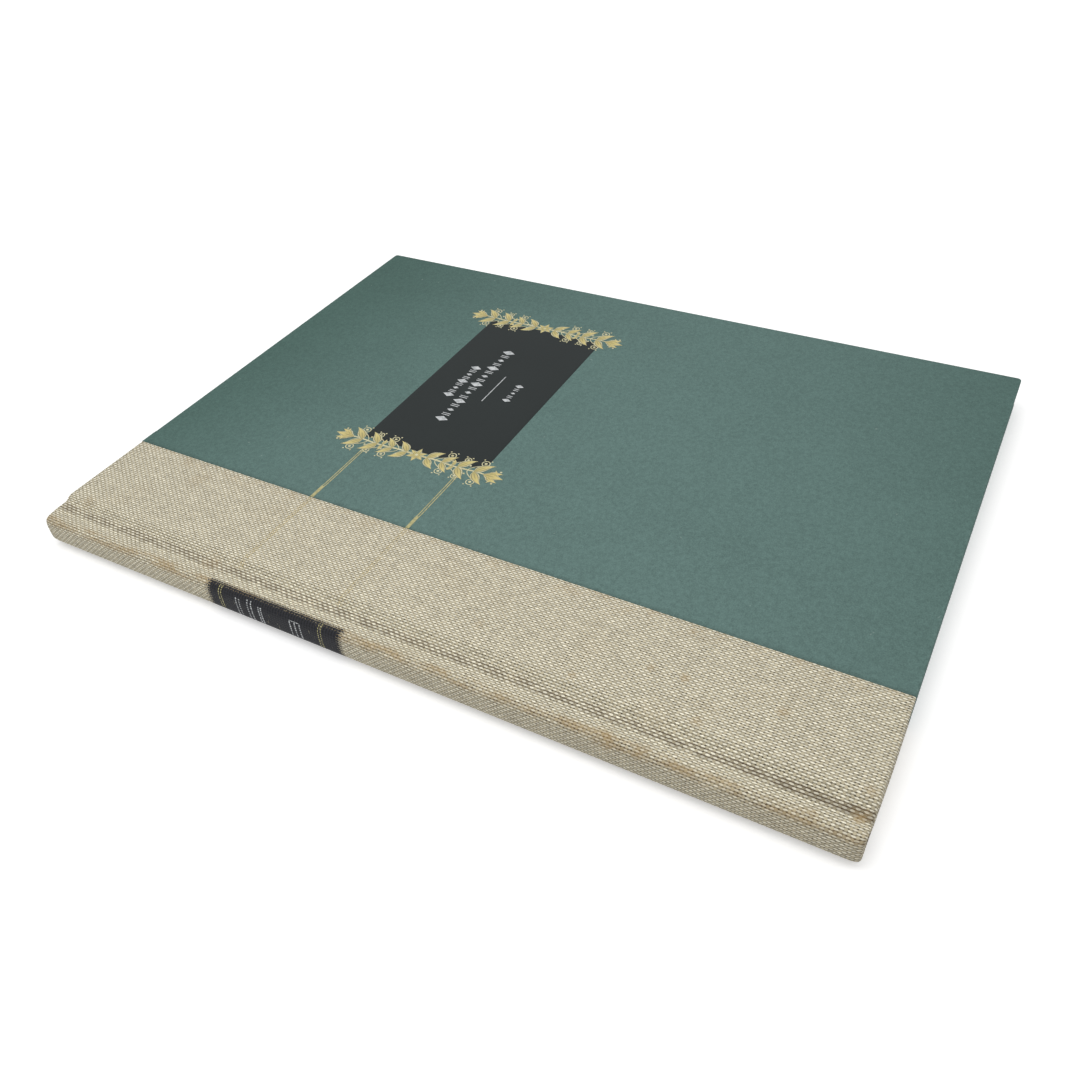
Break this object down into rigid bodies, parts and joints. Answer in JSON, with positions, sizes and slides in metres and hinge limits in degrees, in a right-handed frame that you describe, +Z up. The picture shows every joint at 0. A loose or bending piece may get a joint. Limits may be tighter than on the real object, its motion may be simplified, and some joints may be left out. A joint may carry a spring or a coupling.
{
  "type": "hardback book",
  "caption": "Thin case-bound book lying closed: rounded spine and joints in natural cloth, green paper sides, a black title panel between gold garlands, and covers that open on cloth joints.",
  "frame": {"origin": "middle of the closed book's footprint, on the surface that it lies on", "axes": "+X from the spine to the fore-edge, +Y from tail to head, +Z up through the front cover"},
  "size_m": [0.1823, 0.24, 0.0115],
  "materials": {
    "greyboard": "matt pressed board",
    "green_paper": "matt uncoated paper, faintly mottled",
    "book_cloth": "natural plain-woven cloth",
    "mull_gauze": "open starched gauze",
    "endpaper": "plain cream paper",
    "black_print": "near-black satin print",
    "gold_foil": "pale gold foil",
    "silver_foil": "silver foil",
    "page_paper": "uncoated page edges",
    "kraft_paper": "brown kraft paper",
    "headband_silk": "striped woven band"
  },
  "bodies": {
    "book_block": {"spine_cloth": "book_cloth", "spine_mull": "mull_gauze", "front_flyleaf": "endpaper", "back_flyleaf": "endpaper", "spine_label": "black_print", "spine_rules_foil": "gold_foil", "spine_marks_foil": "silver_foil", "text_block": "page_paper", "spine_lining": "kraft_paper", "spine_card": "greyboard", "head_band": "headband_silk", "tail_band": "headband_silk"},
    "front_cover": {"front_board": "greyboard", "front_siding_paper": "green_paper", "front_side_cloth": "book_cloth", "front_joint_cloth": "book_cloth", "front_mull_wing": "mull_gauze", "front_pastedown": "endpaper", "front_endpaper_fold": "endpaper", "cover_label": "black_print", "near_garland_foil": "gold_foil", "far_garland_foil": "gold_foil", "cover_rules_foil": "gold_foil", "label_marks_foil": "silver_foil"},
    "back_cover": {"back_board": "greyboard", "back_siding_paper": "green_paper", "back_side_cloth": "book_cloth", "back_joint_cloth": "book_cloth", "back_mull_wing": "mull_gauze", "back_pastedown": "endpaper", "back_endpaper_fold": "endpaper"}
  },
  "joints": [
    {"name": "front_cover_hinge", "type": "hinge", "parent": "book_block", "child": "front_cover", "pos_m": [-0.08675, 0, 0.0099], "axis": [0, -1, 0], "range_deg": [0, 179], "deforming": ["front_joint_cloth", "front_endpaper_fold"]},
    {"name": "back_cover_hinge", "type": "hinge", "parent": "book_block", "child": "back_cover", "pos_m": [-0.08675, 0, 0.0016], "axis": [0, 1, 0], "range_deg": [0, 179], "deforming": ["back_joint_cloth", "back_endpaper_fold"]}
  ]
}
